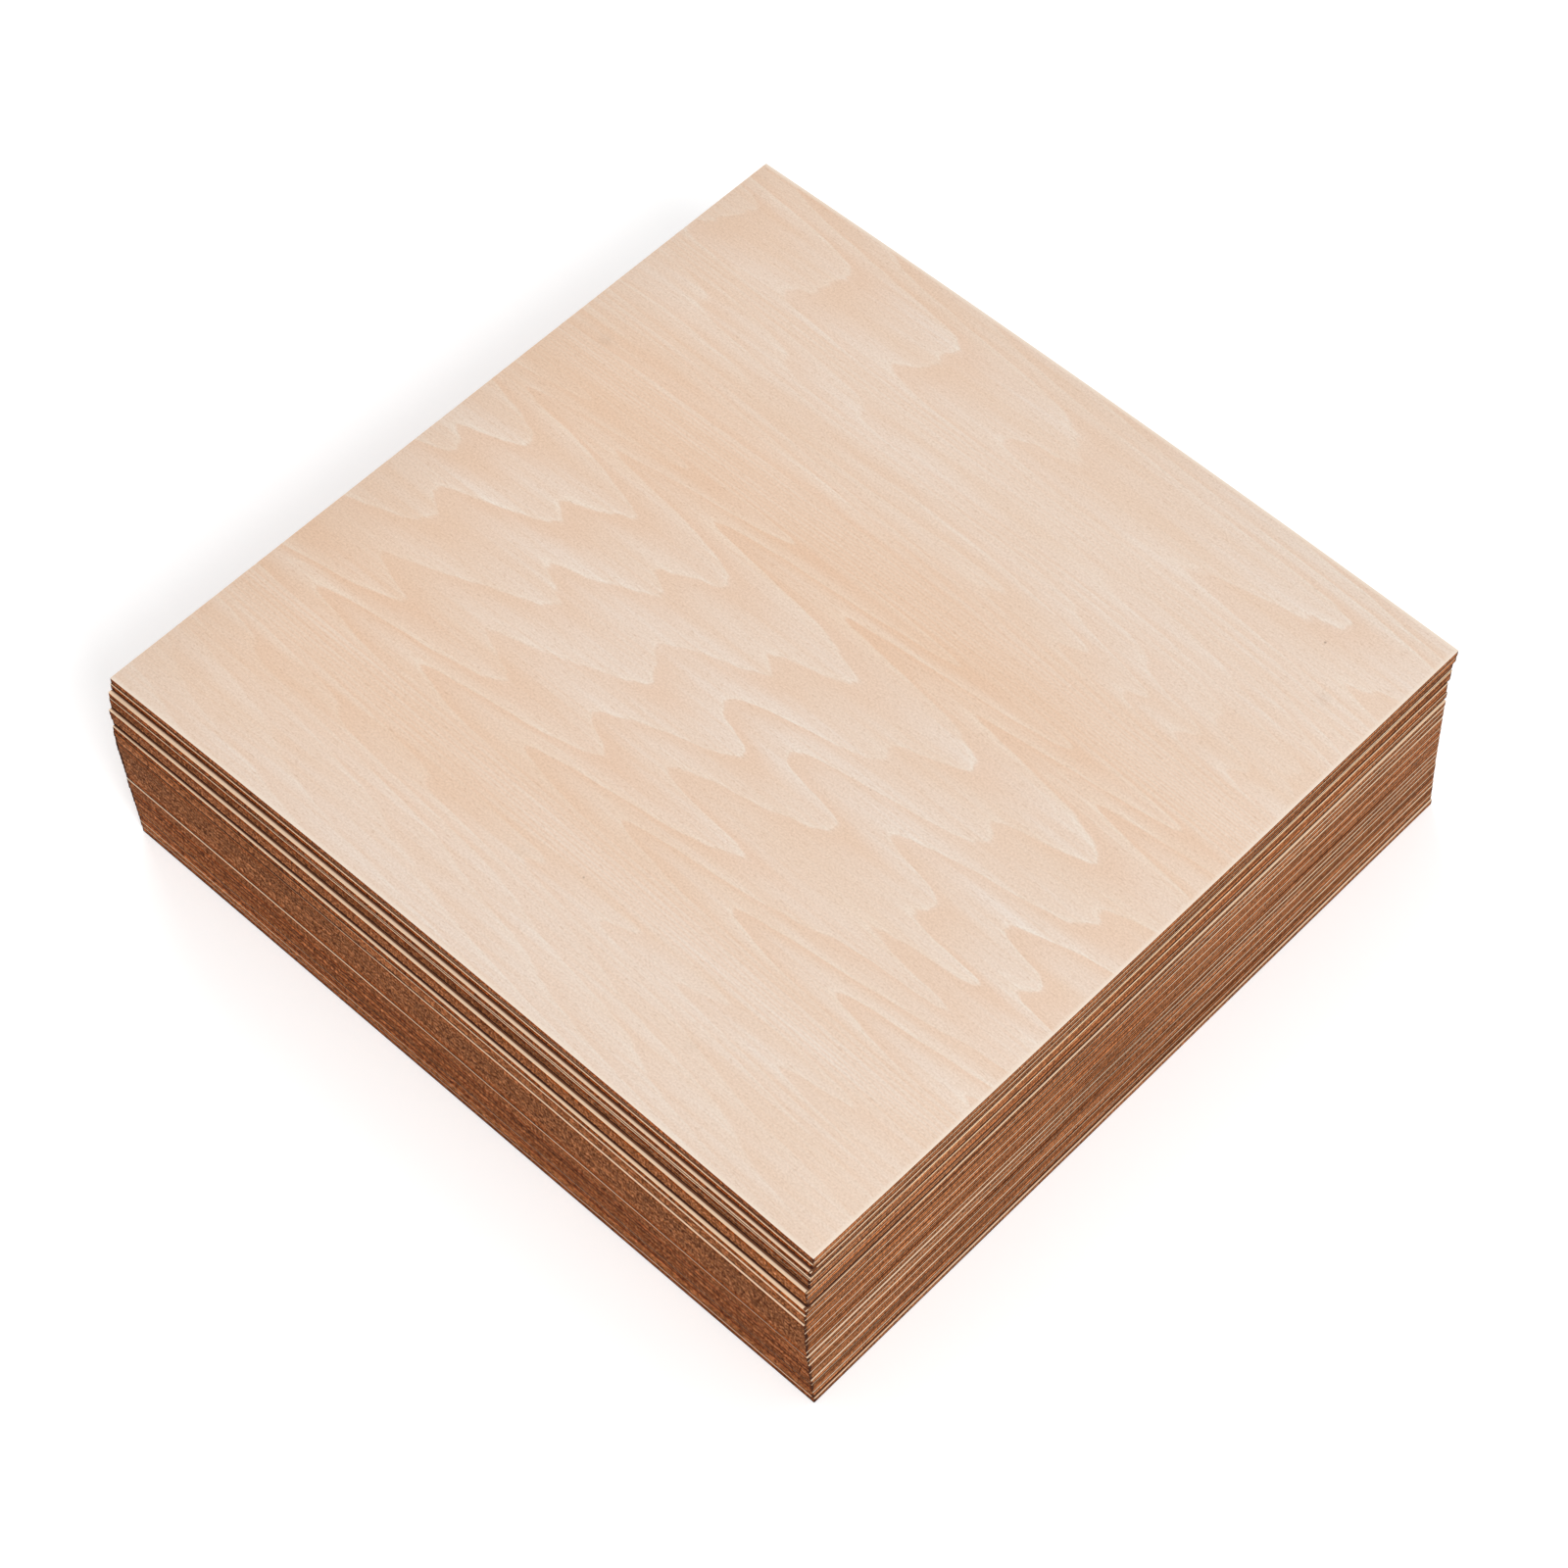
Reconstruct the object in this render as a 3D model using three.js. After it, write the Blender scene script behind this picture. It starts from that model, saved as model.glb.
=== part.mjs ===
// A stack of square sheets of thin plywood, lying one on another by their own weight.
// Millimetres, +Z up, +X along the face grain, origin under the middle of the stack.

import * as THREE from "three";

// The sheets
const sheetSide = 304.8; // 12 inches, laser-cut square
const sheetThickness = 2.6; // three plies, sold as 3 mm
const sheetCount = 30;
const airGap = 0.07; // left between two sheets that lie on each other

// How the sheets lie. The bottom sheet is pressed flat. The pile bows up along the grain,
// more with each sheet until the settled ones end, and keeps that bow above them. The top
// sheets also spring up, most at the -Y edge, and curl at the corner of +X and -Y.
const settledSheets = 21;
const pileBow = 1.6; // rise of the pile's middle line above the settled sheets
const springBow = 1.5; // what the top sheet adds to that at its -Y edge, half as much at +Y
const springShare = 0.6; // of the spring that is left in the next sheet down
const cornerCurl = 3.7; // lift of the top sheet's corner, less by an equal step in each below
const curledSheets = 8;
const bowCells = 10; // cells along a bowed sheet

// A sheet that has slid out from under the one above it, counted from the top sheet as 1:
// out at the +X edge, out at the -Y edge, and turned counter-clockwise, in degrees.
const slides = [
  { sheet: 2, outX: 0.1, outY: 0.4, turn: 0 },
  { sheet: 3, outX: 0.15, outY: 1.4, turn: 0.08 },
  { sheet: 4, outX: 0.3, outY: 0.42, turn: -0.06 },
  { sheet: 6, outX: 0.3, outY: 1.36, turn: -0.06 },
  { sheet: 8, outX: 0.35, outY: -0.2, turn: 0 },
  { sheet: 9, outX: 0.6, outY: 0.95, turn: -0.08 },
  { sheet: 10, outX: 0.15, outY: 0.34, turn: -0.04 },
  { sheet: 12, outX: 0.25, outY: 0.3, turn: -0.07 },
  { sheet: 20, outX: 0.3, outY: 0.15, turn: 0.06 },
  { sheet: 22, outX: 0.25, outY: -0.25, turn: 0.04 },
  { sheet: 26, outX: 0.25, outY: -0.1, turn: 0.05 },
  { sheet: 27, outX: 0.25, outY: -0.05, turn: 0 },
  { sheet: 29, outX: 0.3, outY: 0.05, turn: 0.04 },
  { sheet: 30, outX: 0.65, outY: 0.1, turn: 0 },
];

// Every other sheet lies within a hair of the one above: a slow creep and a small waver.
const creepX = 0.05;
const creepY = -0.165;
const waver = 0.08;
const waverStep = 2.4; // radians from sheet to sheet
const waverLag = 1.1; // radians between the two edges

// Height that the pile's bow and the sheet's own spring and curl add at a place on the sheet.
function rise(x, y, level, fromTop) {
  const along = x / (sheetSide / 2);
  const across = y / (sheetSide / 2);
  const arch = 1 - along * along;
  let height = arch * pileBow * Math.min(1, level / settledSheets);
  if (fromTop < curledSheets) {
    const nearFront = (1 - across) / 2;
    const corner = ((1 + along) / 2) * nearFront ** 3;
    height += arch * ((1 + nearFront) / 2) * springBow * springShare ** fromTop;
    height += corner * cornerCurl * (1 - fromTop / curledSheets);
  }
  return height;
}

// How far a sheet has slid out from under the one above it.
function slideOf(number) {
  const known = slides.find((slide) => slide.sheet === number);
  if (known) {
    return known;
  }
  const phase = waverStep * number;
  return {
    outX: creepX + waver * Math.sin(phase),
    outY: creepY + waver * Math.sin(phase + waverLag),
    turn: 0,
  };
}

const woodColours = ["#e2c8ab", "#dfc2a2", "#e5ccb2"];

function plywood(level) {
  return new THREE.MeshStandardMaterial({
    color: woodColours[level % woodColours.length],
    roughness: 0.75,
    metalness: 0,
  });
}

// One sheet: a square plate with straight edges, bent to lie on the pile at its place.
// Below the curled sheets the bend runs one way only, so one cell across is enough.
function plywoodSheet(level, fromTop, place) {
  const cellsAcross = fromTop < curledSheets ? bowCells : 1;
  const geometry = new THREE.BoxGeometry(
    sheetSide,
    sheetSide,
    sheetThickness,
    bowCells,
    cellsAcross,
    1,
  );
  const sheet = new THREE.Mesh(geometry, plywood(level));
  sheet.name = `sheet_${String(level + 1).padStart(2, "0")}`;
  sheet.position.set(place.x, place.y, level * (sheetThickness + airGap) + sheetThickness / 2);
  sheet.rotation.z = place.turn;
  sheet.updateMatrix();
  const corners = geometry.attributes.position;
  const point = new THREE.Vector3();
  for (let i = 0; i < corners.count; i += 1) {
    point.fromBufferAttribute(corners, i);
    const localZ = point.z;
    point.applyMatrix4(sheet.matrix);
    corners.setZ(i, localZ + rise(point.x, point.y, level, fromTop));
  }
  geometry.computeVertexNormals();
  return sheet;
}

// The sheets are laid out from the top sheet down, and the stack is then centred.
const stack = new THREE.Group();
const place = { x: 0, y: 0, turn: 0 };
for (let fromTop = 0; fromTop < sheetCount; fromTop += 1) {
  if (fromTop > 0) {
    const slide = slideOf(fromTop + 1);
    place.x += slide.outX;
    place.y -= slide.outY;
    place.turn += THREE.MathUtils.degToRad(slide.turn);
  }
  stack.add(plywoodSheet(sheetCount - 1 - fromTop, fromTop, place));
}
const middle = new THREE.Box3().setFromObject(stack, true).getCenter(new THREE.Vector3());
stack.position.set(-middle.x, -middle.y, 0);

export default stack;
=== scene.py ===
import bpy
import math
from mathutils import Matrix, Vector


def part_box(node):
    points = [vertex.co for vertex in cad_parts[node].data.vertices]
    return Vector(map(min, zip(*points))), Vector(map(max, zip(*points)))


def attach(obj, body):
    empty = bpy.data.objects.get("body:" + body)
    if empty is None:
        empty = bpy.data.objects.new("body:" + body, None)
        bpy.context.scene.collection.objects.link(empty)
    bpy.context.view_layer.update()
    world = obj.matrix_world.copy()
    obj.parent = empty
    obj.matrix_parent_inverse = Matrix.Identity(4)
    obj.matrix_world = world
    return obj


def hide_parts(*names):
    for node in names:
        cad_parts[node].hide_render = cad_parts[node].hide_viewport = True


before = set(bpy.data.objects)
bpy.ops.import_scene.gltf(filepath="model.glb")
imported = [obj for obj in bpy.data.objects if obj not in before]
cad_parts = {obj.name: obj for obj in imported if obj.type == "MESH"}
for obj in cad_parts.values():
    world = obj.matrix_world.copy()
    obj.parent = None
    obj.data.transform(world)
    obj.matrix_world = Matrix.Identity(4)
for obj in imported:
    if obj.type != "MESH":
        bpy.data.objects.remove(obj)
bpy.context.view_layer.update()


# ---------------------------------------------------------------------------------------
# The face veneer. Each sheet is faced on both sides with half a millimetre of rotary-cut
# basswood: pale cream, sanded bare, with growth rings that run along the grain and meet in
# rows of soft points. Every ring starts with a pale line and is tan just outside it.

half = 0.1524  # half the side of a sheet


def lay(tree, kind, sockets=None, **settings):
    """Adds a node to a finish, sets it up and joins what feeds it."""
    node = tree.nodes.new(kind)
    for name, value in settings.items():
        setattr(node, name, value)
    for name, value in (sockets or {}).items():
        if isinstance(value, bpy.types.NodeSocket):
            tree.links.new(value, node.inputs[name])
        else:
            node.inputs[name].default_value = value
    return node


def sum_up(tree, operation, a, b=0.0, c=0.0, clamp=False):
    """One step of arithmetic in a finish."""
    node = lay(tree, "ShaderNodeMath", {0: a, 1: b, 2: c}, operation=operation, use_clamp=clamp)
    return node.outputs[0]


def tint(tree, share, first, second, blend="MIX"):
    """Lays one colour over another by a share."""
    node = tree.nodes.new("ShaderNodeMix")
    node.data_type = "RGBA"
    node.blend_type = blend
    for place, value in (("Factor_Float", share), ("A_Color", first), ("B_Color", second)):
        socket = next(s for s in node.inputs if s.identifier == place)
        if isinstance(value, bpy.types.NodeSocket):
            tree.links.new(value, socket)
        else:
            socket.default_value = value
    return next(s for s in node.outputs if s.identifier == "Result_Color")


def stretched(tree, where, stretch, shift=(0.0, 0.0, 0.0)):
    """The place on the wood, drawn out along the grain and moved to a fresh patch."""
    node = lay(tree, "ShaderNodeMapping", {"Vector": where, "Scale": stretch, "Location": shift})
    return node.outputs[0]


def cloud(tree, where, scale, detail=2.0, rough=0.5):
    """Soft random patches, from 0 to 1."""
    node = lay(tree, "ShaderNodeTexNoise", {"Vector": where, "Scale": scale, "Detail": detail,
                                            "Roughness": rough})
    return node.outputs["Fac"]


def ramp(tree, share, stops):
    """A colour for each share from 0 to 1, through the stops given."""
    node = lay(tree, "ShaderNodeValToRGB", {"Fac": share})
    scale = node.color_ramp
    while len(scale.elements) < len(stops):
        scale.elements.new(1.0)
    for element, (place, colour) in zip(scale.elements, stops):
        element.position = place
        element.color = colour if len(colour) == 4 else (*colour, 1.0)
    return node.outputs["Color"]


def spread(tree, value, start, stop, first, last):
    """A value's range from start to stop laid onto another range, and held there."""
    node = lay(tree, "ShaderNodeMapRange", {"Value": value, "From Min": start, "From Max": stop,
                                            "To Min": first, "To Max": last})
    return node.outputs[0]


def grey(value):
    return (value, value, value, 1.0)


veneer = bpy.data.node_groups.new("basswood veneer", "ShaderNodeTree")
for name, kind, way in (("Place", "NodeSocketVector", "INPUT"),
                        ("Ring Offset", "NodeSocketFloat", "INPUT"),
                        ("Clear", "NodeSocketFloat", "INPUT"),
                        ("Warm", "NodeSocketFloat", "INPUT"),
                        ("Straight", "NodeSocketFloat", "INPUT"),
                        ("Slope", "NodeSocketFloat", "INPUT"),
                        ("Patch", "NodeSocketFloat", "INPUT"),
                        ("Rim", "NodeSocketFloat", "INPUT"),
                        ("Haze And Bounce Color", "NodeSocketColor", "INPUT"),
                        ("Ledge Soot And Shade", "NodeSocketFloat", "INPUT"),
                        ("Color", "NodeSocketColor", "OUTPUT"),
                        ("Roughness", "NodeSocketFloat", "OUTPUT"),
                        ("Height", "NodeSocketFloat", "OUTPUT")):
    veneer.interface.new_socket(name, in_out=way, socket_type=kind)
given = veneer.nodes.new("NodeGroupInput")
place = given.outputs["Place"]
patch = given.outputs["Patch"]
# Each sheet's veneer comes from another place on the log.
moved = lay(veneer, "ShaderNodeVectorMath", {0: place, 1: lay(veneer, "ShaderNodeCombineXYZ", {
    "X": sum_up(veneer, "MULTIPLY", patch, 1.37),
    "Y": sum_up(veneer, "MULTIPLY", patch, 2.11),
    "Z": sum_up(veneer, "MULTIPLY", patch, 0.73)}).outputs[0]}, operation="ADD").outputs[0]
along = lay(veneer, "ShaderNodeSeparateXYZ", {0: place}).outputs["X"]


def grain_noise(stretch, shift=(0.0, 0.0, 0.0), detail=2.0, rough=0.5):
    """Random patches drawn out along the grain, given as patches in a metre."""
    return cloud(veneer, stretched(veneer, moved, stretch, shift), 1.0, detail, rough)


# The rings: distance along the grain, less how far each line of grain is drawn out, with
# a slow wander and a fine one. Where the grain runs straight, the rings break into loops.
ring_width = 0.0467  # metres along the grain from one ring line to the next
reach = sum_up(veneer, "SUBTRACT", along, given.outputs["Ring Offset"])
for stretch, depth in (((9.0, 26.0, 1.0), 0.035), ((60.0, 210.0, 1.0), 0.010)):
    wander = sum_up(veneer, "SUBTRACT", grain_noise(stretch), 0.5)
    reach = sum_up(veneer, "MULTIPLY_ADD", wander, depth, reach)
looping = sum_up(veneer, "SUBTRACT", grain_noise((3.0, 42.0, 1.0), detail=1.0), 0.5)
looping = sum_up(veneer, "MULTIPLY", looping, given.outputs["Straight"])
reach = sum_up(veneer, "MULTIPLY_ADD", looping, 0.5, reach)
ring = sum_up(veneer, "FRACT", sum_up(veneer, "DIVIDE", reach, ring_width))
# A thin pale line ends each ring, with a soft edge inside it and often a fainter twin. The
# stops of both are in centimetres from the line. Where lines crowd together they fade.
centimetres = 100.0
line_scale = sum_up(veneer, "DIVIDE", ring_width, given.outputs["Slope"])
to_line = sum_up(veneer, "MULTIPLY", sum_up(veneer, "SUBTRACT", 1.0, ring), line_scale)
past_line = sum_up(veneer, "MULTIPLY", ring, line_scale)
line_here = ramp(veneer, sum_up(veneer, "MULTIPLY", to_line, centimetres), [
    (0.0, grey(0.9)), (0.03, grey(1.0)), (0.09, grey(0.8)), (0.16, grey(0.25)),
    (0.5, grey(0.06)), (1.0, grey(0.0))])
line_past = spread(veneer, past_line, 0.0, 0.0006, 0.85, 0.0)
twin = ramp(veneer, sum_up(veneer, "MULTIPLY", to_line, centimetres), [
    (0.0, grey(0.0)), (0.26, grey(0.0)), (0.34, grey(1.0)), (0.42, grey(0.0)), (1.0, grey(0.0))])
twin_here = grain_noise((14.0, 30.0, 1.0), (2.0, 6.0, 0.0), 1.0)
twin_here = spread(veneer, twin_here, 0.45, 0.6, 0.0, 0.7)
ring_line = sum_up(veneer, "MAXIMUM", sum_up(veneer, "MAXIMUM", line_here, line_past),
                   sum_up(veneer, "MULTIPLY", twin, twin_here))
crowding = spread(veneer, given.outputs["Slope"], 7.0, 20.0, 1.0, 0.3)
ring_line = sum_up(veneer, "MULTIPLY", ring_line, crowding)
ring_tan = ramp(veneer, ring, [
    (0.0, grey(0.1)), (0.035, grey(0.85)), (0.10, grey(1.0)), (0.22, grey(0.85)),
    (0.45, grey(0.4)), (0.65, grey(0.1)), (0.85, grey(0.0)), (1.0, grey(0.0))])
# How clearly the rings show comes and goes over the sheet.
clear = spread(veneer, grain_noise((11.0, 26.0, 1.0), (4.0, 1.0, 0.0)), 0.32, 0.55, 0.5, 1.0)
clear = sum_up(veneer, "MULTIPLY", clear, given.outputs["Clear"])
wood = ramp(veneer, grain_noise((3.0, 8.0, 1.0), (9.0, 3.0, 0.0)), [
    (0.25, (0.785, 0.65, 0.555)), (0.5, (0.80, 0.685, 0.60)), (0.75, (0.80, 0.695, 0.62))])
tan_share = sum_up(veneer, "MULTIPLY", ring_tan, clear)
wood = tint(veneer, sum_up(veneer, "MULTIPLY", tan_share, 0.82), wood, (0.775, 0.565, 0.43, 1.0))
line_share = sum_up(veneer, "MULTIPLY", ring_line, clear)
wood = tint(veneer, sum_up(veneer, "MULTIPLY", line_share, 0.8), wood, (0.85, 0.775, 0.69, 1.0))
# Fibres: long hair-fine streaks, narrow and broad bands, and short flecks where the vessels
# are cut. Each has its darkest and palest value, how much of it shows, and its colour.
streaks = grain_noise((22.0, 800.0, 1.0), detail=3.0, rough=0.6)
bands = grain_noise((11.0, 210.0, 1.0), (3.0, 5.0, 0.0), 2.0, 0.6)
broad = grain_noise((5.0, 55.0, 1.0), (1.0, 7.0, 0.0), 3.0, 0.6)
flecks = grain_noise((330.0, 2200.0, 1.0), rough=0.6)
for fibres, stops, strength, stain in (
        (streaks, [(0.3, 1.0), (0.5, 0.4), (0.7, 0.0)], 0.42, (0.745, 0.555, 0.425, 1.0)),
        (bands, [(0.34, 1.0), (0.5, 0.4), (0.66, 0.0)], 0.45, (0.76, 0.565, 0.43, 1.0)),
        (broad, [(0.34, 1.0), (0.5, 0.35), (0.62, 0.0)], 0.5, (0.765, 0.57, 0.43, 1.0)),
        (flecks, [(0.3, 1.0), (0.42, 0.0)], 0.5, (0.60, 0.42, 0.30, 1.0))):
    share = ramp(veneer, fibres, [(at, grey(value)) for at, value in stops])
    wood = tint(veneer, sum_up(veneer, "MULTIPLY", share, strength), wood, stain)
mist = ramp(veneer, grain_noise((1250.0, 1500.0, 1.0), detail=3.0, rough=0.75), [
    (0.3, (0.885, 0.865, 0.835)), (0.7, (1.095, 1.115, 1.135))])
wood = tint(veneer, 1.0, wood, mist, "MULTIPLY")
warm = tint(veneer, 1.0, wood, (0.995, 0.925, 0.86, 1.0), "MULTIPLY")
wood = tint(veneer, given.outputs["Warm"], wood, warm)
# The laser leaves a warm brown haze on the face, close to the cut. On a ledge the same tint
# is also painted warm light, bounced from the scorched wall above, and painted shade.
haze_and_bounce = spread(veneer, given.outputs["Rim"], 0.0016, 0.0003, 0.0, 0.85)
wood = tint(veneer, haze_and_bounce, wood, given.outputs["Haze And Bounce Color"])
# Soot and painted shade in one dark brown, on the inner half of a ledge below a wall.
wood = tint(veneer, given.outputs["Ledge Soot And Shade"], wood, (0.13, 0.036, 0.008, 1.0))
fibre_height = sum_up(veneer, "ADD", sum_up(veneer, "MULTIPLY", streaks, 0.5),
                      sum_up(veneer, "MULTIPLY", flecks, 0.5))
sheen = spread(veneer, fibre_height, 0.3, 0.7, 0.72, 0.56)
kept = veneer.nodes.new("NodeGroupOutput")
veneer.links.new(wood, kept.inputs["Color"])
veneer.links.new(sheen, kept.inputs["Roughness"])
veneer.links.new(fibre_height, kept.inputs["Height"])


def veneer_face(name, figure_of, rim_haze_and_bounce, ledge_soot_shade_share, spots=()):
    """A sanded veneer face of unfinished wood, with the figure that its own rule gives."""
    face = bpy.data.materials.new(name)
    face.use_nodes = True
    tree = face.node_tree
    shader = tree.nodes["Principled BSDF"]
    where = lay(tree, "ShaderNodeTexCoord").outputs["Object"]
    number = lay(tree, "ShaderNodeAttribute", attribute_name="sheet").outputs["Fac"]
    figure = lay(tree, "ShaderNodeGroup", node_tree=veneer)
    tree.links.new(where, figure.inputs["Place"])
    tree.links.new(number, figure.inputs["Patch"])
    told = ("Ring Offset", "Clear", "Warm", "Straight", "Slope")
    for name_told, value in zip(told, figure_of(tree, where, number)):
        tree.links.new(value, figure.inputs[name_told])
    # How near the cut a place is, and how near the foot of the wall that stands on a ledge.
    # A ledge is pale at its rim and darker over its inner half: soot, and painted shade where
    # the wall above would shade it.
    own_place = lay(tree, "ShaderNodeUVMap", uv_map="place").outputs[0]
    own_axes = lay(tree, "ShaderNodeSeparateXYZ", {0: own_place})
    ledges = lay(tree, "ShaderNodeAttribute", attribute_name="ledges").outputs["Vector"]
    ledges = lay(tree, "ShaderNodeSeparateXYZ", {0: ledges})
    rim, soot_and_shade = None, None
    for axis, way, ledge in (("Y", 1.0, "X"), ("X", -1.0, "Y"), ("Y", -1.0, "Z")):
        to_rim = sum_up(tree, "MULTIPLY_ADD", own_axes.outputs[axis], way, half)
        width = sum_up(tree, "MAXIMUM", ledges.outputs[ledge], 0.00005)
        from_rim = sum_up(tree, "DIVIDE", to_rim, sum_up(tree, "MULTIPLY", width, 2.0))
        narrow = spread(tree, width, 0.0002, 0.0006, 0.14, 0.0)
        from_rim = sum_up(tree, "ADD", from_rim, narrow)
        near = ramp(tree, from_rim, [
            (0.0, grey(0.0)), (0.20, grey(0.0)), (0.30, grey(0.35)), (0.37, grey(1.0)),
            (0.9, grey(1.0)), (1.0, grey(0.0))])
        rim = to_rim if rim is None else sum_up(tree, "MINIMUM", rim, to_rim)
        soot_and_shade = near if soot_and_shade is None else sum_up(tree, "MAXIMUM", soot_and_shade, near)
    tree.links.new(rim, figure.inputs["Rim"])
    figure.inputs["Haze And Bounce Color"].default_value = rim_haze_and_bounce
    tree.links.new(sum_up(tree, "MULTIPLY", soot_and_shade, ledge_soot_shade_share), figure.inputs["Ledge Soot And Shade"])
    face_colour = figure.outputs["Color"]
    flat_place = lay(tree, "ShaderNodeCombineXYZ", {"X": own_axes.outputs["X"],
                                                    "Y": own_axes.outputs["Y"]})
    for spot_x, spot_y, radius, depth in spots:
        away = lay(tree, "ShaderNodeVectorMath", {
            0: flat_place.outputs[0], 1: (spot_x, spot_y, 0.0)}, operation="DISTANCE")
        away = away.outputs["Value"]
        spot = spread(tree, away, radius * 0.35, radius, depth, 0.0)
        face_colour = tint(tree, spot, face_colour, (0.32, 0.23, 0.17, 1.0))
    tree.links.new(face_colour, shader.inputs["Base Color"])
    tree.links.new(figure.outputs["Roughness"], shader.inputs["Roughness"])
    bump = lay(tree, "ShaderNodeBump", {"Height": figure.outputs["Height"], "Strength": 0.22,
                                        "Distance": 0.00025})
    tree.links.new(bump.outputs[0], shader.inputs["Normal"])
    shader.inputs["Specular IOR Level"].default_value = 0.12
    face.diffuse_color = (0.8, 0.64, 0.5, 1.0)
    return face


# The top sheet's own figure: how far its rings are drawn out on each line of grain, from
# the +Y edge at 0 to the -Y edge at 1, in metres. Straight grain is where this runs away.
top_points = [
    (0.0, -0.098), (0.019, -0.075), (0.03, -0.045), (0.043, -0.0125), (0.0575, -0.002),
    (0.0686, 0.0), (0.085, -0.003), (0.1018, -0.006), (0.118, -0.003), (0.135, 0.008),
    (0.1427, 0.035), (0.1515, 0.075), (0.167, 0.16), (0.23, 0.30), (0.30, 0.42), (0.35, 0.829),
    (0.361, 0.923), (0.368, 0.998), (0.375, 1.045), (0.385, 1.051), (0.403, 1.010),
    (0.42, 0.9725), (0.4336, 1.009), (0.4458, 1.0288), (0.459, 1.0413), (0.469, 1.047),
    (0.48, 1.0426), (0.4945, 1.0288), (0.508, 1.0146), (0.519, 1.0217), (0.53, 1.0258),
    (0.544, 1.0204), (0.561, 1.0062), (0.577, 0.9934), (0.586, 0.9894), (0.597, 0.9917),
    (0.607, 0.9951), (0.6206, 0.9978), (0.6327, 0.9944), (0.6438, 0.987), (0.655, 0.9776),
    (0.676, 0.9584), (0.688, 0.9479), (0.699, 0.9557), (0.71, 0.9641), (0.721, 0.9681),
    (0.731, 0.9628), (0.738, 0.953), (0.749, 0.93), (0.767, 0.90), (0.787, 0.923),
    (0.795, 0.935), (0.799, 1.008), (0.817, 1.11), (0.833, 1.289), (0.843, 1.34), (0.852, 1.374),
    (0.873, 1.346), (0.881, 1.36), (0.89, 1.40), (0.913, 1.435), (0.923, 1.45), (0.947, 1.51),
    (0.97, 1.545), (1.0, 1.60),
]
# How much further they are drawn out past the middle of the sheet, and near the +X edge.
middle_points = [
    (0.0, 0.0), (0.54, 0.0), (0.588, -0.032), (0.625, 0.0), (0.655, -0.015), (0.68, -0.034),
    (0.70, -0.02), (0.72, 0.0), (0.78, 0.0), (1.0, 0.0),
]
right_points = [
    (0.0, 0.055), (0.0686, 0.065), (0.11, 0.04), (0.16, 0.0), (0.3, 0.0), (0.5, 0.0),
    (0.58, 0.0), (0.62, -0.019), (0.655, 0.035), (0.677, 0.083), (0.699, 0.07), (0.7157, 0.038),
    (0.731, 0.005), (0.76, 0.0), (1.0, 0.0),
]
# How clear its rings are, how warm its wood is and how straight its grain is.
clear_rows = [
    (0.0, 0.7), (0.08, 0.85), (0.14, 0.7), (0.2, 0.5), (0.29, 0.55), (0.33, 0.75), (0.42, 1.0),
    (0.7, 1.0), (0.78, 0.85), (0.84, 0.6), (0.9, 0.55), (1.0, 0.45),
]
warm_rows = [
    (0.0, 0.0), (0.26, 0.0), (0.30, 0.45), (0.34, 0.85), (0.41, 1.0), (0.435, 0.5), (0.46, 0.05),
    (0.5, 0.0), (0.6, 0.0), (0.68, 0.2), (0.73, 0.45), (0.78, 0.4), (0.85, 0.2), (0.9, 0.1),
    (1.0, 0.0),
]
left_warm_rows = [
    (0.0, 0.7), (0.05, 0.15), (0.1, 0.0), (0.2, 0.1), (0.28, 0.2), (0.42, 0.2), (0.46, 0.0),
    (0.68, 0.0), (0.73, 0.2), (0.8, 0.25), (0.845, 0.9), (0.87, 0.7), (0.9, 0.3), (0.95, 0.0),
    (1.0, 0.0),
]
straight_rows = [
    (0.0, 0.05), (0.1, 0.1), (0.15, 0.6), (0.2, 1.0), (0.34, 0.8), (0.37, 0.25), (0.4, 0.0),
    (0.72, 0.0), (0.77, 0.15), (0.85, 0.35), (1.0, 0.4),
]
low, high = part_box("sheet_30")
top_middle = ((low[0] + high[0]) / 2, (low[1] + high[1]) / 2)
# The first ring line of the tip nearest the +Y edge crosses the middle of the sheet here.
first_ring = -0.0004
grain_slant = 0.033  # share of the side by which a row of grain drifts in a metre
row_step = 0.004  # share of the side between two readings of a row


def by_row(tree, share, points, bottom, span):
    """Reads a value off a curve drawn over the rows of grain."""
    curve = lay(tree, "ShaderNodeFloatCurve", {"Value": share})
    line = curve.mapping.curves[0]
    for place_on, value in points:
        height_on = (value - bottom) / span
        if place_on == 0.0:
            line.points[0].location = (place_on, height_on)
        elif place_on == 1.0:
            line.points[len(line.points) - 1].location = (place_on, height_on)
        else:
            line.points.new(place_on, height_on)
    curve.mapping.update()
    return sum_up(tree, "MULTIPLY_ADD", curve.outputs[0], span, bottom)


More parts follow.
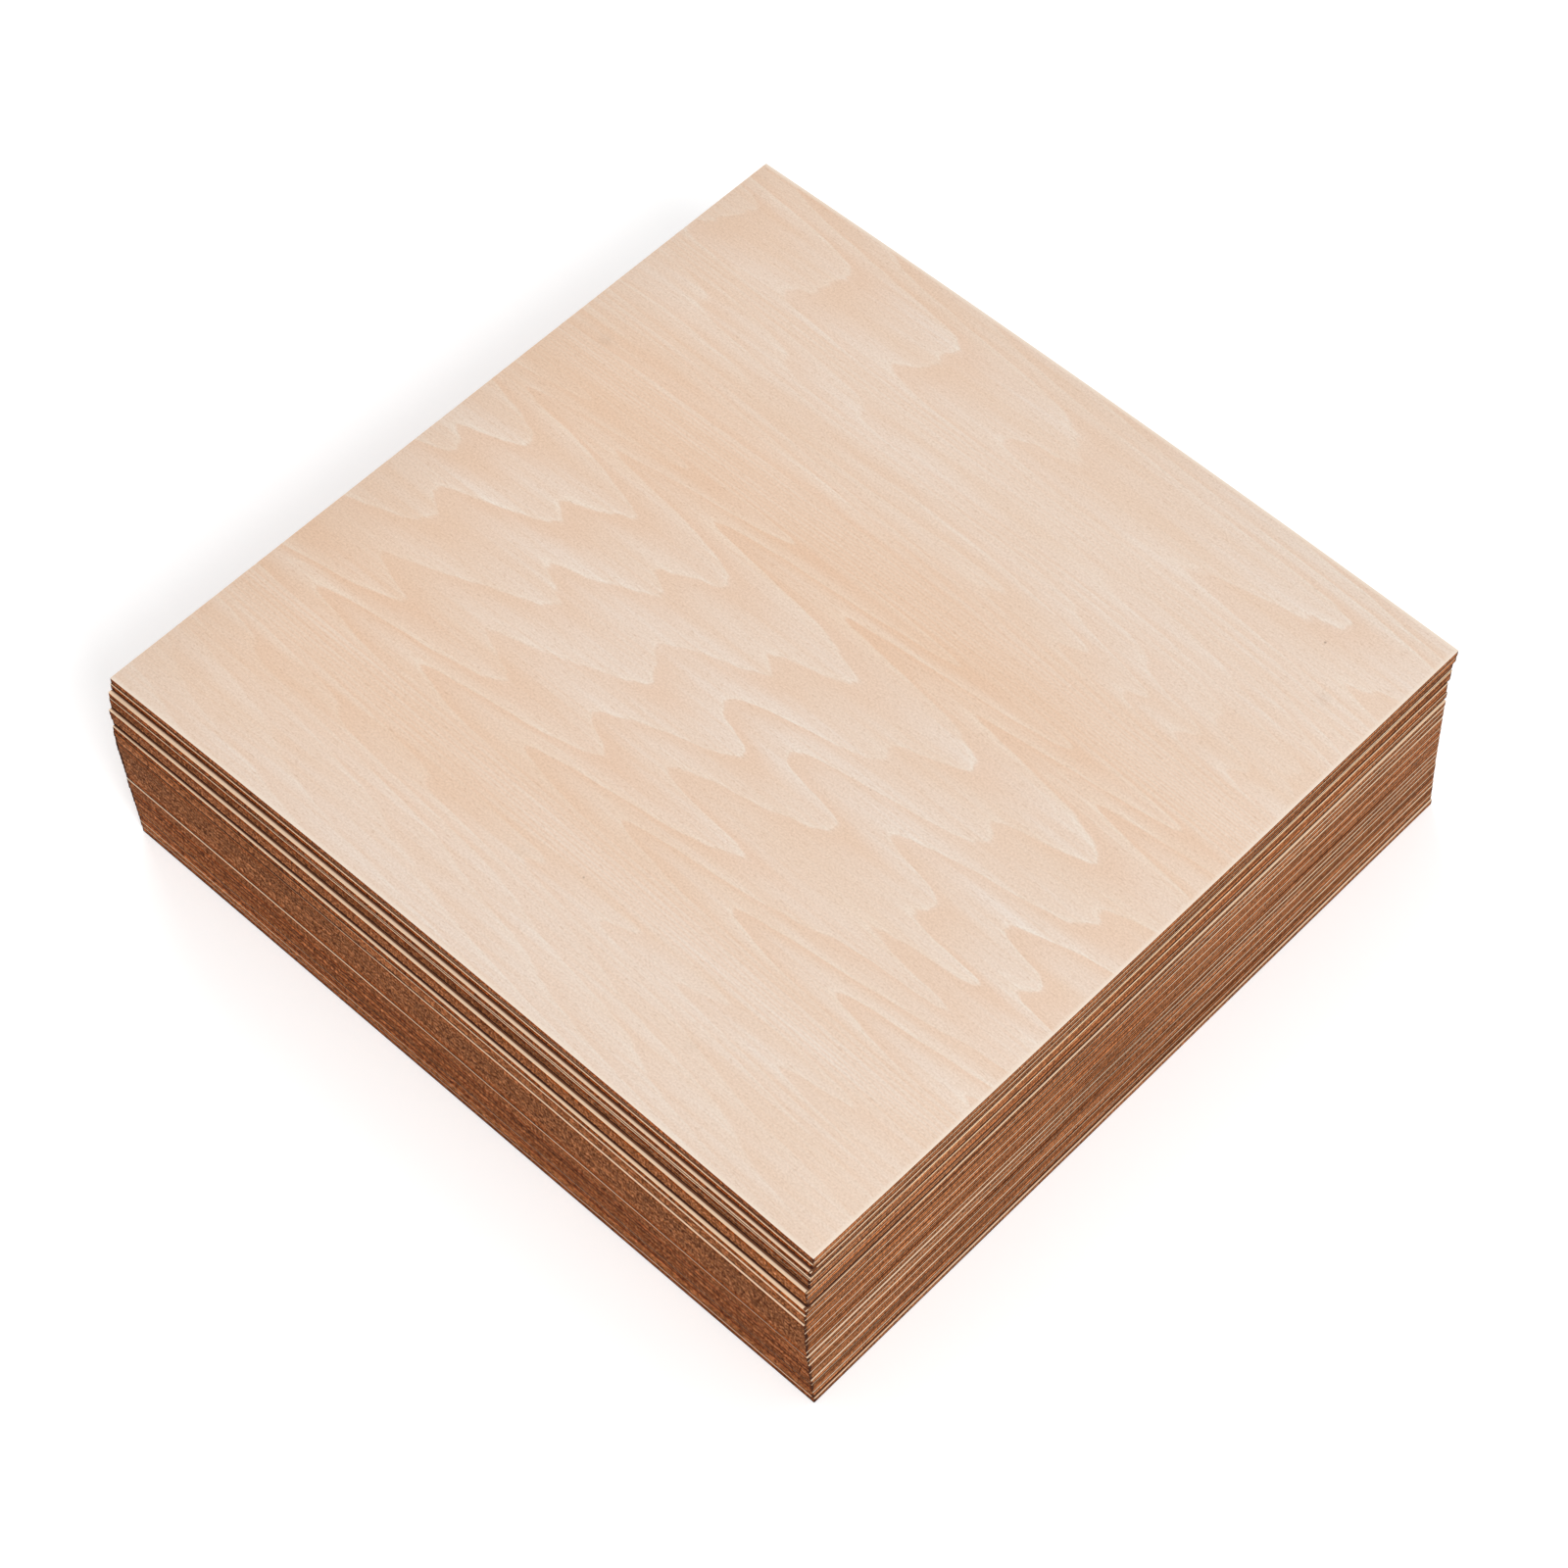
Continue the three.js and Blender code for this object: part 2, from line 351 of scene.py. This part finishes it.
def top_figure(tree, where, number):
    """The top sheet's rings, and how clear, warm, straight and steep they are at a place."""
    axes = lay(tree, "ShaderNodeSeparateXYZ", {0: where})
    from_middle = sum_up(tree, "SUBTRACT", axes.outputs["X"], top_middle[0])
    share = sum_up(tree, "SUBTRACT", top_middle[1] + half, axes.outputs["Y"])
    share = sum_up(tree, "DIVIDE", share, 2 * half)
    share = sum_up(tree, "MULTIPLY_ADD", from_middle, grain_slant, share, clamp=True)
    # The mean of five readings close together rounds the points of the rings a little.
    near = [by_row(tree, sum_up(tree, "ADD", share, aside, clamp=True), top_points, -0.1, 2.1)
            for aside in (-2 * row_step, -row_step, 0.0, row_step, 2 * row_step)]
    drawn = near[0]
    for value in near[1:]:
        drawn = sum_up(tree, "ADD", drawn, value)
    drawn = sum_up(tree, "MULTIPLY_ADD", drawn, 1 / 5, top_middle[0] + first_ring)
    slope = sum_up(tree, "SUBTRACT", near[4], near[0])
    slope = sum_up(tree, "DIVIDE", slope, 4 * row_step * 2 * half)
    slope = sum_up(tree, "SQRT", sum_up(tree, "MULTIPLY_ADD", slope, slope, 1.0))
    for points, start, stop in ((middle_points, -0.03, 0.03), (right_points, 0.0, 0.12)):
        growing = spread(tree, from_middle, start, stop, 0.0, 1.0)
        further = by_row(tree, share, points, -0.05, 0.2)
        drawn = sum_up(tree, "MULTIPLY_ADD", further, growing, drawn)
    clear_here = by_row(tree, share, clear_rows, 0.0, 1.0)
    warm_here = None
    for rows, start, stop, least in ((warm_rows, 0.0, half, 0.5),
                                     (left_warm_rows, -half, 0.05, 0.0)):
        fading = spread(tree, from_middle, start, stop, 1.0, least)
        near = sum_up(tree, "MULTIPLY", by_row(tree, share, rows, 0.0, 1.0), fading)
        warm_here = near if warm_here is None else sum_up(tree, "ADD", warm_here, near)
    everywhere = spread(tree, from_middle, -half, half * 0.6, 0.45, 0.0)
    warm_here = sum_up(tree, "ADD", warm_here, everywhere)
    straight_here = by_row(tree, share, straight_rows, 0.0, 1.0)
    return drawn, clear_here, warm_here, straight_here, slope


def plain_figure(tree, where, number):
    """A figure for the sheets below the top one, which differs from sheet to sheet."""
    axes = lay(tree, "ShaderNodeSeparateXYZ", {0: where})
    spot = lay(tree, "ShaderNodeCombineXYZ", {"X": axes.outputs["Y"], "Y": number}).outputs[0]
    broad_tip = cloud(tree, spot, 9.0, 0.0)
    small_tip = cloud(tree, spot, 38.0, 1.0)
    drawn = sum_up(tree, "MULTIPLY", broad_tip, 1.6)
    drawn = sum_up(tree, "MULTIPLY_ADD", small_tip, 0.12, drawn)
    steady = lay(tree, "ShaderNodeValue").outputs[0]
    steady.default_value = 2.0
    return drawn, broad_tip, small_tip, broad_tip, steady


# Four soft finger smudges and three dark specks: place on the sheet, radius and depth.
top_spots = [
    (0.133, 0.107, 0.0034, 0.10), (-0.1365, 0.056, 0.0034, 0.10), (-0.009, -0.111, 0.003, 0.08),
    (0.0775, -0.125, 0.003, 0.06), (0.1196, 0.1247, 0.0006, 0.7), (0.0118, -0.1045, 0.0005, 0.6),
    (0.0532, -0.0192, 0.0004, 0.5),
]
# In each face, the colour is its rim haze, which on a ledge is also painted bounce light, and the
# number after it is its share of soot and painted shade on ledges.
top_face = veneer_face("top sheet face", top_figure, (0.86, 0.74, 0.62, 1.0), 0.0, top_spots)
plain_face = veneer_face("sheet face", plain_figure, (1.0, 0.735, 0.50, 1.0), 0.95)


# ---------------------------------------------------------------------------------------
# The cut edge. A laser cuts each square, so the edge is scorched brown all over. Along the
# grain the thick middle ply is end grain and shows its pores, across the grain it shows its
# length as a lighter line between two dark ones. An arris that sticks out stays pale: unburnt
# face veneer, with a painted highlight laid along it.

cut = bpy.data.node_groups.new("laser-cut edge", "ShaderNodeTree")
for name, kind, way in (("Along", "NodeSocketFloat", "INPUT"),
                        ("Across", "NodeSocketFloat", "INPUT"),
                        ("Sheet", "NodeSocketFloat", "INPUT"),
                        ("Bare_And_Lit", "NodeSocketFloat", "INPUT"),
                        ("Foot_Soot_Shade", "NodeSocketFloat", "INPUT"),
                        ("Tone", "NodeSocketFloat", "INPUT"),
                        ("Pores", "NodeSocketFloat", "INPUT"),
                        ("Color", "NodeSocketColor", "OUTPUT"),
                        ("Roughness", "NodeSocketFloat", "OUTPUT"),
                        ("Height", "NodeSocketFloat", "OUTPUT")):
    cut.interface.new_socket(name, in_out=way, socket_type=kind)
given = cut.nodes.new("NodeGroupInput")
run, level, end_grain = given.outputs["Along"], given.outputs["Across"], given.outputs["Pores"]
sheet_shift = sum_up(cut, "MULTIPLY", given.outputs["Sheet"], 3.17)


def edge_noise(along_scale, across_scale, detail=2.0, shift=0.0, rough=0.55):
    """Random patches on an edge, given as patches in a metre and in a sheet's thickness."""
    spot = lay(cut, "ShaderNodeCombineXYZ", {
        "X": sum_up(cut, "MULTIPLY", run, along_scale),
        "Y": sum_up(cut, "MULTIPLY", level, across_scale),
        "Z": sum_up(cut, "ADD", sheet_shift, shift)}).outputs[0]
    return cloud(cut, spot, 1.0, detail, rough)


# The plies wander a little in height. Each sheet has its own depth of burn.
wave = sum_up(cut, "SUBTRACT", edge_noise(60.0, 0.0, 2.0), 0.5)
level_now = sum_up(cut, "MULTIPLY_ADD", wave, 0.14, level)
side_of = sum_up(cut, "FLOOR", run)
own_spot = lay(cut, "ShaderNodeCombineXYZ", {"X": sum_up(cut, "MULTIPLY", side_of, 7.3),
                                             "Y": sheet_shift}).outputs[0]
chance = lay(cut, "ShaderNodeTexWhiteNoise", {"Vector": own_spot}, noise_dimensions="2D")
chance = lay(cut, "ShaderNodeSeparateColor", {0: chance.outputs["Color"]})
porous = ramp(cut, level_now, [
    (0.0, (0.03, 0.009, 0.004)), (0.10, (0.09, 0.026, 0.009)), (0.18, (0.27, 0.09, 0.035)),
    (0.40, (0.38, 0.135, 0.054)), (0.60, (0.32, 0.108, 0.041)), (0.76, (0.21, 0.062, 0.018)),
    (0.86, (0.42, 0.13, 0.026)), (0.95, (0.50, 0.18, 0.045)), (1.0, (0.36, 0.12, 0.033))])
laid_long = ramp(cut, level_now, [
    (0.0, (0.02, 0.005, 0.003)), (0.18, (0.035, 0.008, 0.004)), (0.24, (0.205, 0.047, 0.011)),
    (0.38, (0.255, 0.064, 0.016)), (0.43, (0.66, 0.232, 0.076)), (0.64, (0.62, 0.214, 0.068)),
    (0.69, (0.165, 0.036, 0.008)), (0.82, (0.055, 0.012, 0.004)), (0.90, (0.235, 0.052, 0.008)),
    (1.0, (0.37, 0.095, 0.017))])
burn = tint(cut, end_grain, laid_long, porous)
even = tint(cut, end_grain, (0.27, 0.09, 0.028, 1.0), (0.26, 0.088, 0.033, 1.0))
burn = tint(cut, sum_up(cut, "MULTIPLY", chance.outputs[0], 0.3), burn, even)

# Pores are short dark and light dots, lengths are long thin lines.
pores = edge_noise(950.0, 3.2, 2.0, 11.0, 0.75)
lengths = edge_noise(16.0, 9.0, 3.0, 23.0, 0.6)
speck = tint(cut, end_grain, lengths, pores)
dark_share = ramp(cut, speck, [(0.34, grey(1.0)), (0.47, grey(0.3)), (0.58, grey(0.0))])
light_share = ramp(cut, speck, [(0.48, grey(0.0)), (0.64, grey(1.0))])
burn = tint(cut, sum_up(cut, "MULTIPLY", dark_share, 0.82), burn, (0.050, 0.014, 0.006, 1.0))
burn = tint(cut, sum_up(cut, "MULTIPLY", light_share, 0.62), burn, (0.60, 0.25, 0.108, 1.0))
# The laser's pulses leave fine upright ticks.
pulses = edge_noise(1700.0, 1.2, 1.0, 51.0)
burn = tint(cut, 1.0, burn, ramp(cut, pulses, [(0.32, grey(0.5)), (0.68, grey(1.35))]), "MULTIPLY")
# Whole stretches burn more or less deeply.
patches = edge_noise(11.0, 0.4, 2.0, 37.0)
burn = tint(cut, 1.0, burn, ramp(cut, patches, [(0.3, grey(0.78)), (0.7, grey(1.18))]), "MULTIPLY")
depth_of_burn = ramp(cut, chance.outputs[1], [(0.0, grey(0.82)), (1.0, grey(1.16))])
burn = tint(cut, 1.0, burn, depth_of_burn, "MULTIPLY")
burn = tint(cut, 1.0, burn, given.outputs["Tone"], "MULTIPLY")
# Soot and painted shade darken the foot over a ledge, where the ledge and the gap lie in
# shade, and soot gathers in short dashes here and there.
dashes = spread(cut, edge_noise(70.0, 0.0, 2.0, 71.0), 0.66, 0.72, 0.0, 0.8)
foot = sum_up(cut, "MULTIPLY_ADD", given.outputs["Foot_Soot_Shade"], -0.14, level_now)
foot = spread(cut, foot, 0.20, 0.04, 0.0, 1.0)
soot_and_shade = sum_up(cut, "MINIMUM", sum_up(cut, "MAXIMUM", given.outputs["Foot_Soot_Shade"], dashes), 1.0)
soot_and_shade = sum_up(cut, "MULTIPLY", foot, soot_and_shade)
# The corner itself is charred, in blobs that differ from sheet to sheet.
to_corner = sum_up(cut, "SUBTRACT", sum_up(cut, "FRACT", run), 0.5)
to_corner = sum_up(cut, "SUBTRACT", half, sum_up(cut, "ABSOLUTE", to_corner))
blob = edge_noise(900.0, 1.6, 1.0, 91.0)
char = spread(cut, sum_up(cut, "MULTIPLY_ADD", blob, -0.0016, to_corner), 0.0, -0.0005, 0.0, 1.0)
soot_and_shade = sum_up(cut, "MAXIMUM", soot_and_shade, sum_up(cut, "MULTIPLY", char, 0.85))
burn = tint(cut, soot_and_shade, burn, (0.022, 0.007, 0.006, 1.0))
# The sanded face shows as a pale line along an arris that sticks out, laid on brighter as a
# painted highlight, and the end grain is darkest right under it.
under = spread(cut, level, 0.15, 0.60, 0.0, 1.0)
under = sum_up(cut, "MULTIPLY", under, given.outputs["Bare_And_Lit"], clamp=True)
under = sum_up(cut, "MULTIPLY", under, end_grain)
burn = tint(cut, under, burn, tint(cut, 1.0, burn, (0.84, 0.50, 0.20, 1.0), "MULTIPLY"))
worn = spread(cut, edge_noise(45.0, 0.0, 2.0, 63.0), 0.36, 0.56, 0.45, 1.0)
stretch = spread(cut, edge_noise(9.0, 0.0, 1.0, 131.0), 0.40, 0.58, 0.35, 1.05)
worn = sum_up(cut, "MULTIPLY", worn, stretch)
broader = sum_up(cut, "MAXIMUM", sum_up(cut, "SUBTRACT", given.outputs["Bare_And_Lit"], 1.0), 0.0)
pale_and_lit = sum_up(cut, "MULTIPLY_ADD", broader, 0.06, level)
pale_and_lit = sum_up(cut, "MULTIPLY", spread(cut, pale_and_lit, 0.93, 0.97, 0.0, 1.0), given.outputs["Bare_And_Lit"])
pale_and_lit = sum_up(cut, "MULTIPLY", pale_and_lit, worn)
pale_wood_and_lit = tint(cut, given.outputs["Bare_And_Lit"], (0.60, 0.27, 0.10, 1.0), (1.0, 0.74, 0.46, 1.0))
burn = tint(cut, pale_and_lit, burn, pale_wood_and_lit)
rough_edge = spread(cut, speck, 0.3, 0.7, 0.9, 0.6)
relief = sum_up(cut, "ADD", sum_up(cut, "MULTIPLY", speck, 0.6),
                sum_up(cut, "MULTIPLY", pulses, 0.4))
kept = cut.nodes.new("NodeGroupOutput")
cut.links.new(burn, kept.inputs["Color"])
cut.links.new(rough_edge, kept.inputs["Roughness"])
cut.links.new(relief, kept.inputs["Height"])


def cut_edge(name, pores_share):
    """The scorched edge of a sheet, with the middle ply showing its pores or its length."""
    edge = bpy.data.materials.new(name)
    edge.use_nodes = True
    tree = edge.node_tree
    shader = tree.nodes["Principled BSDF"]
    own_place = lay(tree, "ShaderNodeUVMap", uv_map="place").outputs[0]
    axes = lay(tree, "ShaderNodeSeparateXYZ", {0: own_place})
    look = lay(tree, "ShaderNodeGroup", node_tree=cut)
    tree.links.new(axes.outputs["X"], look.inputs["Along"])
    tree.links.new(axes.outputs["Y"], look.inputs["Across"])
    for told in ("Sheet", "Bare_And_Lit", "Foot_Soot_Shade", "Tone"):
        value = lay(tree, "ShaderNodeAttribute", attribute_name=told.lower()).outputs["Fac"]
        tree.links.new(value, look.inputs[told])
    look.inputs["Pores"].default_value = pores_share
    tree.links.new(look.outputs["Color"], shader.inputs["Base Color"])
    tree.links.new(look.outputs["Roughness"], shader.inputs["Roughness"])
    bump = lay(tree, "ShaderNodeBump", {"Height": look.outputs["Height"], "Strength": 0.35,
                                        "Distance": 0.0003})
    tree.links.new(bump.outputs[0], shader.inputs["Normal"])
    shader.inputs["Specular IOR Level"].default_value = 0.02
    edge.diffuse_color = (0.36, 0.14, 0.065, 1.0)
    return edge


edge_along = cut_edge("edge along the grain", 1.0)
edge_across = cut_edge("edge across the grain", 0.0)


# ---------------------------------------------------------------------------------------
# The sheets. Thirty squares of three-ply, cut from larger boards and dropped on a pile. Each
# takes the bend and place of its solid, with corners and arrises eased only a hair. An edge
# that sticks out is pale at its arris, as bare veneer with a painted highlight, and one that
# hangs over is darkened at its foot by soot and painted shade.

sheet_count = 30
corner_ease = 0.00012
arris_ease = 0.00005
clear_ledge = 0.00018  # how far an edge sticks out before its arris is quite bare and fully painted with its highlight
sooty_shaded_ledge = 0.0006  # how far an edge hangs over before its foot takes full soot and painted shade
least_bare_lit = 0.2  # of its arris's bareness and painted highlight, on an edge that is flush with the one above
low_sheets = 12  # the lowest ones, whose -Y side is worn and charred by chance
pale_front = 7  # the lowest ones, whose -Y side is a little lighter
dark_right = 18  # the lowest ones, whose +X side is darker
# Some arrises are worn, and painted with their highlight, more or less than that, some feet
# are charred and painted in shade more, and some edges are darker or lighter. By number from
# the top: on the -Y side, and on the +X side.
worn_and_lit_more = ({1: 0.6, 2: 1.4, 3: 1.5, 4: 1.5, 6: 1.6, 9: 1.6, 10: 0.4, 12: 0.6, 20: 0.6},
             {1: 0.8, 2: 1.5, 3: 0.4, 4: 3.2, 6: 2.2, 8: 0.4, 9: 1.4, 10: 0.6, 11: 0.6, 12: 0.5})
charred_shaded_more = ({2: 1.3, 5: 1.3, 8: 2.3}, {3: 1.5, 5: 1.0, 8: 1.6})
edge_tone = ({3: 0.9, 4: 0.8, 5: 0.8, 13: 0.94, 14: 0.94, 15: 0.94, 16: 0.94},
             {2: 0.92, 3: 0.78, 4: 1.2, 5: 1.2, 6: 1.25, 7: 1.15})


def reaches(number):
    """How far a sheet reaches out on its four sides: -Y, +X, +Y and -X."""
    low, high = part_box(f"sheet_{number:02d}")
    return (-low[1], high[0], high[1], -low[0])


for number in range(1, sheet_count + 1):
    node_name = f"sheet_{number:02d}"
    own = reaches(number)
    above = [reach - clear_ledge for reach in own]
    if number < sheet_count:
        above = reaches(number + 1)
    below = reaches(number - 1) if number > 1 else own
    out_by = [own[i] - above[i] for i in range(4)]
    bare_and_lit = [min(1.0, max(0.0, out / clear_ledge + least_bare_lit)) for out in out_by]
    sooty_shaded_foot = [min(1.0, max(0.0, (below[i] - own[i]) / sooty_shaded_ledge)) for i in range(4)]
    if number <= low_sheets:
        bare_and_lit[0] = max(bare_and_lit[0], 0.45 + 0.35 * math.sin(2.3 * number))
        sooty_shaded_foot[0] = max(sooty_shaded_foot[0], 0.7 + 0.5 * math.sin(1.7 * number))
    tone = [1.07 if number <= pale_front else 0.98,
            0.88 if number <= dark_right else 0.98, 1.0, 1.0]
    from_top = sheet_count + 1 - number
    for side in range(2):
        bare_and_lit[side] = worn_and_lit_more[side].get(from_top, bare_and_lit[side])
        sooty_shaded_foot[side] = charred_shaded_more[side].get(from_top, sooty_shaded_foot[side])
        tone[side] = edge_tone[side].get(from_top, tone[side])
    sheet = bpy.data.objects.new(f"plywood_{number:02d}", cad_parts[node_name].data.copy())
    bpy.context.scene.collection.objects.link(sheet)
    mesh = sheet.data
    mesh.materials.clear()
    for finish in (top_face if number == sheet_count else plain_face, edge_along, edge_across):
        mesh.materials.append(finish)

    bpy.ops.object.select_all(action="DESELECT")
    sheet.select_set(True)
    bpy.context.view_layer.objects.active = sheet
    bpy.ops.object.mode_set(mode="EDIT")
    bpy.ops.mesh.select_all(action="SELECT")
    bpy.ops.mesh.customdata_custom_splitnormals_clear()
    bpy.ops.mesh.remove_doubles(threshold=0.000002)
    bpy.ops.mesh.tris_convert_to_quads(face_threshold=math.radians(30),
                                       shape_threshold=math.radians(60))
    bpy.ops.mesh.mark_sharp(clear=True)
    bpy.ops.object.mode_set(mode="OBJECT")

    # Each side face is told how high in the sheet it is.
    middle_x = (min(v.co.x for v in mesh.vertices) + max(v.co.x for v in mesh.vertices)) / 2
    middle_y = (min(v.co.y for v in mesh.vertices) + max(v.co.y for v in mesh.vertices)) / 2
    place_map = mesh.uv_layers.new(name="place")
    for face in mesh.polygons:
        flat = abs(face.normal.z) > 0.5
        face.material_index = 0 if flat else 1
        for loop in face.loop_indices:
            upper = mesh.vertices[mesh.loops[loop].vertex_index].co.z > face.center.z
            place_map.data[loop].uv = (0.0, 1.0 if (face.normal.z > 0 if flat else upper) else 0.0)

    bpy.ops.object.mode_set(mode="EDIT")
    bpy.ops.mesh.select_mode(type="EDGE")
    bpy.ops.mesh.select_all(action="DESELECT")
    bpy.ops.object.mode_set(mode="OBJECT")
    corners = [max(mesh.vertices, key=lambda v: v.co.x * x + v.co.y * y).co.xy.copy()
               for x in (-1, 1) for y in (-1, 1)]
    for edge in mesh.edges:
        ends = [mesh.vertices[i].co.xy for i in edge.vertices]
        edge.select = any(all((end - corner).length < 0.0001 for end in ends)
                          for corner in corners)
    bpy.ops.object.mode_set(mode="EDIT")
    bpy.ops.mesh.bevel(offset=corner_ease, segments=2, affect="EDGES")
    bpy.ops.mesh.select_all(action="DESELECT")
    bpy.ops.object.mode_set(mode="OBJECT")
    faces_by_edge = {}
    for face in mesh.polygons:
        for key in face.edge_keys:
            faces_by_edge.setdefault(key, []).append(abs(face.normal.z) > 0.5)
    for edge in mesh.edges:
        edge.select = len(set(faces_by_edge[edge.key])) == 2
    bpy.ops.object.mode_set(mode="EDIT")
    bpy.ops.mesh.bevel(offset=arris_ease, segments=2, affect="EDGES", material=1)
    bpy.ops.mesh.select_all(action="SELECT")
    bpy.ops.mesh.normals_make_consistent(inside=False)
    bpy.ops.object.mode_set(mode="OBJECT")
    bpy.ops.object.shade_smooth_by_angle(angle=math.radians(35))

    # Each side face is then told how far along its edge it is, how bare its arris is and so how
    # bright its painted highlight, and how much soot and painted shade lie at its foot. The flat
    # faces are told their place on the sheet.
    for name in ("sheet", "bare_and_lit", "foot_soot_shade", "tone"):
        mesh.attributes.new(name, "FLOAT", "FACE")
    mesh.attributes.new("ledges", "FLOAT_VECTOR", "FACE")
    told = mesh.attributes
    place_data = mesh.uv_layers["place"].data
    for face in mesh.polygons:
        told["sheet"].data[face.index].value = float(number)
        told["ledges"].data[face.index].vector = out_by[:3]
        facing = face.normal
        if face.material_index == 0:
            for loop in face.loop_indices:
                at = mesh.vertices[mesh.loops[loop].vertex_index].co
                place_data[loop].uv = (at.x - middle_x, at.y - middle_y)
            continue
        along_grain = abs(facing.y) > abs(facing.x)
        side = (0 if facing.y < 0 else 2) if along_grain else (1 if facing.x > 0 else 3)
        face.material_index = 1 if along_grain else 2
        told["bare_and_lit"].data[face.index].value = bare_and_lit[side]
        told["foot_soot_shade"].data[face.index].value = sooty_shaded_foot[side]
        told["tone"].data[face.index].value = tone[side]
        if facing.z > 0.2 and bare_and_lit[side] > 0.5:
            face.material_index = 0
        for loop in face.loop_indices:
            at = mesh.vertices[mesh.loops[loop].vertex_index].co
            from_x, from_y = at.x - middle_x, at.y - middle_y
            if face.material_index == 0:
                place_data[loop].uv = (from_x, from_y)
            else:
                run_along = from_x if along_grain else from_y
                place_data[loop].uv = (side + 0.5 + run_along, place_data[loop].uv[1])
    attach(sheet, "root")
    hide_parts(node_name)


# ---------------------------------------------------------------------------------------
# The studio: a white table lit a little from below, a big soft lamp at the front right, weaker
# ones behind and overhead, and a white room all round.

bpy.ops.object.select_all(action="DESELECT")
bpy.ops.mesh.primitive_plane_add(size=12.0, location=(0.0, 0.0, 0.0))
floor = bpy.context.object
floor.name = "table_top"
paper = bpy.data.materials.new("white paper")
paper.use_nodes = True
paper_tree = paper.node_tree
paper_where = lay(paper_tree, "ShaderNodeTexCoord").outputs["Object"]
paper_grain = cloud(paper_tree, paper_where, 900.0, 2.0)
paper_shade = ramp(paper_tree, paper_grain, [(0.3, grey(0.93)), (0.7, grey(0.95))])
paper_shader = paper_tree.nodes["Principled BSDF"]
paper_tree.links.new(paper_shade, paper_shader.inputs["Base Color"])
paper_shader.inputs["Roughness"].default_value = 0.9
paper_shader.inputs["Emission Color"].default_value = (1.0, 1.0, 1.0, 1.0)
paper_shader.inputs["Emission Strength"].default_value = 0.26
floor.data.materials.append(paper)

world = bpy.data.worlds.new("white room")
bpy.context.scene.world = world
world.use_nodes = True
walls = world.node_tree.nodes["Background"]
walls.inputs["Color"].default_value = (1.0, 1.0, 1.0, 1.0)
walls.inputs["Strength"].default_value = 0.5


stack_middle = (0.0, 0.0, 0.04)


def soft_lamp(name, place_at, size, power):
    """A square lamp that faces the middle of the stack."""
    light = bpy.data.lights.new(name, "AREA")
    light.shape = "SQUARE"
    light.size = size
    light.energy = power
    lamp = bpy.data.objects.new(name, light)
    lamp.location = place_at
    away = [place_at[i] - stack_middle[i] for i in range(3)]
    flat = math.hypot(away[0], away[1])
    lamp.rotation_euler = (math.atan2(flat, away[2]), 0.0, math.atan2(away[0], -away[1]))
    bpy.context.scene.collection.objects.link(lamp)


soft_lamp("front lamp", (2.7, -1.1, 2.95), 1.5, 83.0)
soft_lamp("back lamp", (-2.4, 1.4, 2.6), 1.5, 31.0)
soft_lamp("overhead lamp", (0.0, 0.0, 2.4), 2.4, 5.5)

bpy.context.scene.view_settings.view_transform = "Standard"

# The camera looks down on the corner of +X and -Y, from 1.4 metres off.
camera_data = bpy.data.cameras.new("camera")
camera_data.sensor_width = 36.0
camera_data.lens = 96.0412
camera = bpy.data.objects.new("camera", camera_data)
camera.location = (0.52222, -0.58114, 1.16171)
camera.rotation_euler = (math.radians(34.31642), math.radians(-0.72580), math.radians(43.03796))
camera_data.clip_start, camera_data.clip_end = 0.05, 20.0
bpy.context.scene.collection.objects.link(camera)
bpy.context.scene.camera = camera
